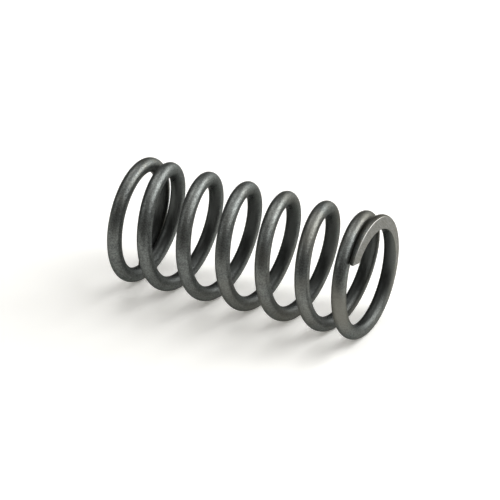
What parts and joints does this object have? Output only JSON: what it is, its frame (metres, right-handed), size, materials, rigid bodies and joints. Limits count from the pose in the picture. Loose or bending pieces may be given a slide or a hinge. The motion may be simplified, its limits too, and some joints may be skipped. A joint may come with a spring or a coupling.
{
  "type": "valve spring",
  "caption": "Cylindrical steel compression spring of round wire, wound right-handed, with closed end coils ground flat; it pushes an engine valve shut.",
  "frame": {"origin": "on the coil's axis, in the plane of the lower ground face", "axes": "+Z along the coil's axis, from the lower ground face to the upper one; the upper tip of the wire lies near +X"},
  "size_m": [0.0256, 0.0256, 0.0535],
  "materials": {
    "spring_steel": "matte shot-peened dark grey, with paler ground faces at both ends"
  },
  "bodies": {
    "root": {"valve_spring": "spring_steel"}
  },
  "joints": []
}
